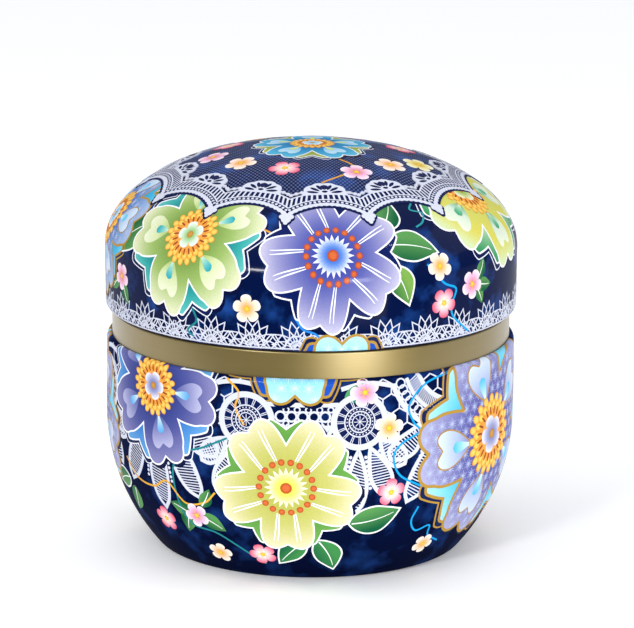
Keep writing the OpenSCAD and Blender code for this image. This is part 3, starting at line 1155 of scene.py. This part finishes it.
make_film("print_lid_blossoms", "lid",
          [(blossom(kind, size, azimuth * 7), on_lid(azimuth, lid_fall(rise)))
           for kind, azimuth, rise, size in lid_blossoms], colour_ink)
make_film("print_lid_top_blossoms", "lid",
          [(blossom(kind, 3.3, azimuth * 5), on_lid(azimuth, fall)) for kind, azimuth, fall in top_blossoms],
          colour_ink)


def on_lid_wall(flat):
    return round_lid(flat * [lid_r / cup_r, 1] - [0, edge_top_z])


lid_threads = [
    ([(33.3, 65.6), (38.5, 61.5), (42.9, 59.9), (41.6, 57.0), (42.0, 54.4), (48.0, 50.6)], "#12a0e0"),
    ([(-33.6, 56.5), (-32.2, 54.0), (-35.0, 52.0), (-33.0, 50.8)], "#1f7f86"),
    ([(-4.0, 56.2), (-2.0, 54.0), (1.5, 53.0), (4.0, 50.8)], "#2a86e0"),
    ([(96.0, 62.0), (101.0, 58.0), (109.0, 56.0), (113.0, 52.0)], "#e0a83a"),
    ([(150.0, 63.0), (146.0, 58.0), (152.0, 55.0), (157.0, 51.0)], "#12a0e0"),
    ([(-150.0, 62.0), (-153.0, 57.0), (-146.0, 55.0), (-143.0, 51.5)], "#1f7f86"),
    ([(-104.0, 61.0), (-108.0, 57.0), (-101.0, 55.0), (-99.0, 51.5)], "#12a0e0"),
]
squiggles = [
    (smooth([(-1.6, 4.0), (1.0, 2.8), (-0.4, 0.8), (1.8, -0.6), (0.6, -2.8), (-1.5, -3.8)], 6),
     "#2a8f9a", 36.4, 74.4),
    (smooth([(-1.2, 2.0), (-0.4, 0.6), (1.0, -0.2), (1.6, -2.0)], 6), "#d99a35", -13.9, 72.0),
]
top_threads = [
    ([(5.5, -11.5), (8.2, -14.5), (7.2, -18.5), (2.0, -23.5)], "#d99a35"),
    ([(20.5, -6.0), (23.0, -9.0), (22.5, -12.5)], "#d99a35"),
    ([(-13.5, -9.0), (-15.2, -10.2), (-14.2, -12.5)], "#2f9ad8"),
    ([(12.0, 9.0), (17.0, 14.0), (15.0, 19.0)], "#2f9ad8"),
    ([(-10.0, 11.0), (-15.0, 14.0), (-13.0, 19.5)], "#d99a35"),
]
layers = [(thread(route, colour), on_lid_wall) for route, colour in lid_threads]
for route, colour, azimuth, rise in squiggles:
    art = Artwork()
    stroke(art, route, 0.4, colour, 0.04)
    layers.append((art, on_lid(azimuth, lid_fall(rise))))
for route, colour in top_threads:
    art = Artwork()
    stroke(art, smooth(route, 10), 0.45, colour, 0.035)
    layers.append((art, over_top))
make_film("print_lid_threads", "lid", layers, colour_ink)

cup_leaves = [
    (leaf(11.0, 12, 0.22), on_cup(11.5, 13.6)),
    (leaf(9.5, -68, -0.3, "#17613c", "#3f8a4a"), on_cup(2.5, 10.0)),
    (leaf(8.5, -128, 0.2, "#17613c", "#3f8a4a"), on_cup(-1.0, 9.6)),
    (leaf(5.6, 40, 0.2, "#1c7a52", "#4f9a62"), on_cup(9.5, 39.4)),
    (leaf(6.5, 250, 0.2), on_cup(-36.5, 14.5)),
    (leaf(6.5, 330, -0.2), on_cup(-34.0, 13.5)),
    (leaf(6.0, 160, 0.2), on_cup(-36.0, 13.0)),
    (leaf(5.0, 60, 0.2), on_cup(-32.5, 15.5)),
    (leaf(8.0, 200, 0.25), on_cup(-64.0, 17.0)),
    (leaf(7.0, 245, -0.2), on_cup(-62.0, 15.5)),
]
cup_blossoms = [
    ("pink", 15.0, 41.0, 3.0), ("peach", 22.0, 33.4, 3.1), ("red", 23.3, 20.0, 3.0),
    ("pink", -34.8, 13.3, 2.8), ("red", -48.8, 10.6, 2.9), ("peach", -30.1, 5.1, 2.6),
    ("red", -14.8, 6.0, 2.8), ("peach", 39.5, 6.5, 2.5),
]
for azimuth in (87.0, 125.0, 166.0, -150.0, -113.0):
    cup_leaves += [
        (leaf(10.0, 20, 0.2), on_cup(azimuth + 2, 11.5)),
        (leaf(8.5, -50, -0.2), on_cup(azimuth + 1, 9.5)),
        (leaf(7.5, 200, 0.2), on_cup(azimuth - 2, 10.5)),
    ]
    cup_blossoms += [
        ("pink", azimuth - 9, 8.0, 2.8), ("red", azimuth + 14, 7.0, 2.8), ("peach", azimuth, 39.5, 2.9)]
make_film("print_cup_leaves", "body", cup_leaves, colour_ink)
make_film("print_cup_blossoms", "body",
          [(blossom(kind, size, azimuth * 7), on_cup(azimuth, rise))
           for kind, azimuth, rise, size in cup_blossoms], colour_ink)
cup_threads = [
    ([(41.5, 43.2), (33.0, 41.5), (28.0, 37.5), (29.5, 34.0), (31.5, 32.0), (26.0, 30.0), (23.5, 27.5),
      (25.5, 23.5), (32.5, 20.5)], "#169be0"),
    ([(32.9, 15.8), (31.5, 12.5), (34.1, 9.8), (39.0, 10.5), (40.0, 7.8), (45.9, 5.4)], "#169be0"),
    ([(-63.5, 21.6), (-58.0, 18.0), (-50.0, 17.5), (-44.0, 19.5), (-38.0, 15.5), (-31.0, 16.5),
      (-27.2, 19.1)], "#e0a83a"),
    ([(-22.9, 31.0), (-30.0, 28.5), (-38.0, 26.0), (-41.2, 21.0), (-38.4, 11.2), (-28.0, 9.0), (-14.3, 2.0)],
     "#1f7f86"),
    ([(-23.0, 43.2), (-19.5, 40.5), (-20.5, 37.5), (-18.0, 34.0)], "#e8aa34"),
    ([(90.0, 42.0), (84.0, 36.0), (88.0, 30.0), (83.0, 22.0)], "#e0a83a"),
    ([(126.0, 17.0), (120.0, 13.0), (131.0, 9.0), (138.0, 4.0)], "#169be0"),
    ([(165.0, 43.0), (160.0, 36.0), (158.0, 28.0), (165.0, 10.0)], "#1f7f86"),
    ([(-150.0, 42.0), (-144.0, 36.0), (-150.0, 30.0), (-153.0, 14.0)], "#169be0"),
    ([(-112.0, 43.0), (-108.0, 36.0), (-114.0, 30.0), (-110.0, 12.0)], "#e0a83a"),
]
make_film("print_cup_threads", "body", [(thread(route, colour), round_cup) for route, colour in cup_threads],
          colour_ink)

# ---------------------------------------------------------------- lace doily on the lid
# White ink drawn like a round lace doily: thirteen arches that meet in beaded
# points, rows of openwork along them, and a fan in the middle of each arch.
# Navy ink a little under it darkens the ground between its threads.
arches = 13
arch_share = math.pi / arches
point_fall, arch_fall = 35.5, 31.8
first_point = math.radians(-8.3)
arch_bow = point_fall * math.cos(arch_share) - arch_fall
arch_r = ((point_fall * math.sin(arch_share)) ** 2 + arch_bow ** 2) / (2 * arch_bow)
arch_middle = arch_fall + arch_r
lace_white, lace_navy = "#d0d4e4", "#101b4a"
doily_level = 0.2
under_doily, over_doily = doily_level - 0.012, doily_level + 0.012


def in_arch(number, depth, share):
    """A point of an arch: depth inwards from its edge, share from -1 to 1 between its two ends."""
    depth, share = np.broadcast_arrays(np.asarray(depth, float), np.asarray(share, float))
    reach = arch_r + depth
    lean = (np.arcsin(np.clip(arch_middle * math.sin(arch_share) / reach, -1, 1)) - arch_share) * share
    local = np.column_stack(((arch_middle - reach * np.cos(lean)).ravel(), (reach * np.sin(lean)).ravel()))
    return placed(local, math.degrees(first_point + (2 * number + 1) * arch_share) - 90)


def row_shares(depth, pitch):
    """Even steps along a row of the arch."""
    reach = arch_r + depth
    lean = math.asin(min(1.0, arch_middle * math.sin(arch_share) / reach)) - arch_share
    count = max(2, round(2 * lean * reach / pitch))
    return (np.arange(count) + 0.5) / count * 2 - 1


def quilt(art, rows, colour, level):
    """A sheet through rows of points, each row as long as the next."""
    rows = [np.asarray(row) for row in rows]
    wide = len(rows[0])
    faces = []
    for k in range(len(rows) - 1):
        for i in range(wide - 1):
            a, b = k * wide + i, (k + 1) * wide + i
            faces.append((a, a + 1, b + 1, b))
    points = np.vstack(rows)
    first = points[list(faces[0])]
    area = np.sum(first[:, 0] * np.roll(first[:, 1], -1) - np.roll(first[:, 0], -1) * first[:, 1])
    faces = faces if area > 0 else [face[::-1] for face in faces]
    art.add(points, tinted(colour, points), level, faces)


drop_shape = [(0.0, 0.0), (0.18, 0.3), (0.5, 0.5), (0.82, 0.38), (1.0, 0.0)]
doily, doily_shade = Artwork(), Artwork()
along = np.linspace(-1, 1, 37)
for number in range(arches):
    rows = [in_arch(number, depth, along) for depth in np.linspace(-0.6, 4.2, 7)]
    quilt(doily_shade, rows, lace_navy, under_doily)
    band = in_arch(number, 0.45, np.linspace(-1, 1, 61))
    stroke(doily, band, 0.9 + 0.2 * np.cos(np.linspace(0, 32 * math.pi, 61)), lace_white, doily_level)
    for depth, width in ((1.95, 0.3), (4.1, 0.34)):
        stroke(doily, in_arch(number, depth, along), width, lace_white, doily_level)
    dots(doily, in_arch(number, 1.35, row_shares(1.35, 0.95)), 0.3, lace_white, lace_white, doily_level, 8)
    for share in row_shares(3.0, 1.1):
        stroke(doily, in_arch(number, [2.0, 3.0, 4.1], share), 0.4, lace_white, doily_level)
    turn = math.degrees(first_point + (2 * number + 1) * arch_share) - 90
    root = in_arch(number, 4.0, 0.0)[0]
    lean = np.linspace(-96, 96, 61)
    reach = (3.6 + 0.28 * np.abs(np.sin(np.radians(lean * 4.6)))) * (1 + 0.2 * np.sin(np.radians(lean)) ** 2)
    fill(doily, root + polar(lean + turn + 180, reach), lace_white, doily_level, 4, root)
    for way in np.arange(-78, 79, 26):
        long = 1.8 + 0.7 * abs(math.sin(math.radians(way)))
        shape = placed(mirrored(smooth(drop_shape, 4)) * [long, 0.75 if way else 1.7], way + turn + 180,
                       root + polar([way + turn + 180], [1.25])[0])
        fill(doily, shape, lace_navy, over_doily, 2)
    foot = root + polar([turn + 180], [0.2])[0]
    shape = placed(mirrored(smooth(drop_shape, 4)) * [0.8, 1.2], turn + 180, foot)
    fill(doily, shape, lace_navy, over_doily, 2)
    valley = np.vstack((in_arch(number, 5.2, np.linspace(0.55, 1, 9)),
                        in_arch((number + 1) % arches, 5.2, np.linspace(-1, -0.55, 9))))
    stroke(doily, valley, 0.3, lace_white, doily_level)
    dots(doily, valley[::3], 0.42, lace_white, lace_white, doily_level, 8)
    point = in_arch(number, 0.3, 1.0)[0]
    outwards = point / np.hypot(*point)
    across = np.array([-outwards[1], outwards[0]])
    for side, away, size in ((0.0, 0.75, 1.05), (0.95, 0.1, 0.6), (-0.95, 0.1, 0.6), (0.0, 1.75, 0.45)):
        bead = point + outwards * away + across * side
        dots(doily, [bead], size, lace_white, lace_white, doily_level, 12)
        bead = point + outwards * (away + 0.3) + across * side
        dots(doily_shade, [bead], size + 0.25, lace_navy, lace_navy, under_doily, 12)
make_film("print_lid_doily_ground", "lid", [(doily_shade, over_top)], colour_ink)
make_film("print_lid_doily", "lid", [(doily, over_top)], white_ink)

# ---------------------------------------------------------------- lace round the lid's edge
# A crochet edging in white ink stands along the lid's lower edge: fans of
# spokes between two arcs, with a loop on each spoke and a bar between fans.
fans = 30
fan_pitch = 2 * math.pi * lid_r / fans


def edging_fan(art, middle):
    """One fan of the crochet edging: pointed loops round two arcs of chain."""
    middle = np.array(middle)
    for reach, width in ((1.3, 0.26), (2.3, 0.26)):
        stroke(art, round_points(middle, reach, 19, 0.0, math.pi * 19 / 18), width, lace_white, 0.02)
    for way in np.linspace(12, 168, 9):
        stroke(art, middle + polar([way, way], [0.4, 2.3]), 0.2, lace_white, 0.02)
    for way in np.linspace(6, 174, 8):
        long = 2.5 + 0.4 * math.sin(math.radians(way))
        loop = placed([(0.0, 0.0), (0.45 * long, 0.78), (long, 0.0), (0.45 * long, -0.78)], way,
                      middle + polar([way], [2.3])[0])
        stroke(art, loop, 0.23, lace_white, 0.02, closed=True)


edging = Artwork()
for number in range(fans):
    edging_fan(edging, ((number - 0.3) * fan_pitch, -0.4))
steps = np.arange(fans * 8 + 1)
for low, high, phase in ((-0.9, 0.7, 0), (0.7, 2.1, 1)):
    line = np.column_stack((steps * fan_pitch / 8, np.where((steps + phase) % 2, low, high)))
    stroke(edging, line, 0.24, lace_white, 0.02)
stroke(edging, [(0.0, -0.75), (2 * math.pi * lid_r, -0.75)], 0.4, lace_white, 0.02)
make_film("print_lid_edging_lace", "lid", [(edging.trimmed(folds=hem_lines), round_lid)], white_ink)

# ---------------------------------------------------------------- lace round the cup
# The cup's lace repeats four times: two wheels with a beaded tape between
# them, and a wide fan of net, ladders and hatched loops up to the next pair.
lace_level = 0.02
wheel_middle = np.array([11.3, 35.1])
fan_middle = np.array([2 * math.pi * cup_r / 8, 47.0])


def tape(art, path, width):
    stroke(art, path, width, lace_white, lace_level)


def hatched_loop(art, foot, turn, long, wide, bend=0.0):
    """A long closed loop of tape with slanting threads across it."""
    half = smooth([(0.0, 0.0), (0.2, 0.5), (0.55, 1.0), (0.85, 0.75), (1.0, 0.0)], 4) * [long, wide / 2]

    def bent(points):
        x, y = np.array(points, float).T
        return placed(np.column_stack((x, y + bend * x ** 2 / long ** 2)), turn, foot)

    stroke(art, bent(mirrored(half)), 0.8, lace_white, lace_level, closed=True)
    for run in np.arange(long * 0.14, long * 0.92, 0.62):
        side = np.interp(run, half[:, 0], half[:, 1])
        stroke(art, bent([(run - 0.5, -side), (run + 0.5, side)]), 0.24, lace_white, lace_level)


def wheel(art, middle):
    level = lace_level + 0.02
    fill(art, round_points(middle, 5.0, 40), lace_navy, lace_level + 0.01, 5, middle)
    stroke(art, round_points(middle, 5.2, 40), 1.2, lace_white, level, closed=True)
    for reach, width in ((3.05, 0.26), (2.15, 0.26), (1.5, 0.2)):
        stroke(art, round_points(middle, reach, 28), width, lace_white, level, closed=True)
    for k in range(16):
        for lean in (-2.4, 2.4):
            spoke = polar([k * 22.5 + lean] * 3, [3.2, 3.9, 4.6]) + middle
            stroke(art, spoke, 0.15, lace_white, level)
    dots(art, round_points(middle, 2.6, 24), 0.16, lace_white, lace_white, level, 5)
    dots(art, round_points(middle, 1.82, 18), 0.12, lace_white, lace_white, level, 5)
    for k in range(4):
        spoke = polar([k * 45, 0, k * 45 + 180], [1.2, 0, 1.2]) + middle
        stroke(art, spoke, 0.14, lace_white, level)


def hex_net(art, inside):
    """Six-sided meshes of thin thread wherever inside(point) holds."""
    cell = 2.05
    for row in range(8):
        for column in range(-8, 9):
            middle = np.array([column * cell * 1.732 + (row % 2) * cell * 0.866, 26.0 + row * cell * 1.5])
            corners = middle + polar([30, 90, 150, 210], [cell] * 4)
            for a, b in zip(corners[:-1], corners[1:]):
                if inside((a + b) / 2):
                    stroke(art, [a, b], 0.3, lace_white, lace_level)


def in_net(point):
    """Where the fan's net shows: inside its ladders, and beside the wheels below them."""
    folded = np.array([abs(point[0]), point[1]])
    if point[1] >= 43.2:
        return False
    if np.hypot(*(point - fan_middle)) < 9.4:
        return True
    clear = np.hypot(*(folded - fan_middle)) > 15.7 and np.hypot(*(folded - wheel_middle)) > 5.6
    return folded[0] > 12 and point[1] > 31.5 and clear


def bead_chain(art, beads):
    """A row of touching beads."""
    dots(art, beads, 0.36, lace_white, lace_white, lace_level, 7)


def cup_lace():
    """One repeat, drawn with x from the middle of the beaded tape."""
    art = Artwork()
    for side in (-1, 1):
        hub = wheel_middle * [side, 1]
        wheel(art, hub)
        for turn, long in ((-164, 8.0), (-140, 11.0), (-116, 12.5), (-92, 13.5), (-68, 11.0), (-44, 7.5)):
            way = turn if side > 0 else 180 - turn
            hatched_loop(art, polar([way], [5.9])[0] + hub, way, long, 4.3)
            aways = np.arange(7.4, long + 4.0, 0.95)
            bead_chain(art, hub + polar([way - side * 12] * len(aways), aways))
        run = np.linspace(0, 1, 15)
        tape(art, np.column_stack((side * (7.5 + 11.0 * run), 41.8 + 1.0 * np.sin(run * math.pi))), 0.9)
    tape(art, [(-7, 38.7), (0, 38.7), (7, 38.7)], 0.9)
    tape(art, [(-7, 33.9), (0, 33.9), (7, 33.9)], 1.3)
    for x in np.linspace(-4.4, 4.4, 5):
        stroke(art, round_points((x, 36.3), 0.98, 18), 0.42, lace_white, lace_level, closed=True)
        for y in (34.9, 37.7):
            stroke(art, round_points((x + 1.1, y), 0.55, 12), 0.3, lace_white, lace_level, closed=True)
    for reach, width in ((9.5, 0.9), (12.3, 0.8), (15.4, 1.0)):
        tape(art, fan_middle + polar(np.linspace(198, 342, 49), np.full(49, reach)), width)
    for way in np.arange(200, 341, 2.6):
        stroke(art, fan_middle + polar([way, way + 2.2], [9.9, 12.0]), 0.24, lace_white, lace_level)
    for way in np.arange(200, 341, 6.0):
        ring = round_points(fan_middle + polar([way], [13.85])[0], 0.95, 14)
        stroke(art, ring, 0.32, lace_white, lace_level, closed=True)
    hex_net(art, in_net)
    for way, long, bend in ((239, 9.0, -2.5), (254, 15.5, -2.0), (270, 18.0, 0.0), (286, 15.5, 2.0),
                            (301, 9.0, 2.5)):
        hatched_loop(art, fan_middle + polar([way], [15.9])[0], way, long, 5.0, bend)
    for way in (247.5, 262.5, 277.5, 292.5):
        bead_chain(art, fan_middle + polar([way] * 12, np.arange(17.0, 28.0, 0.95)))
    return art


for number in range(4):
    art = cup_lace().trimmed(high=rim_lines[-1], folds=rim_lines)
    lay = moved(round_cup, math.radians(-1.85 + 90 * number) * cup_r, 0)
    make_film(f"print_cup_lace_{number + 1}", "body", [(art, lay)], white_ink)
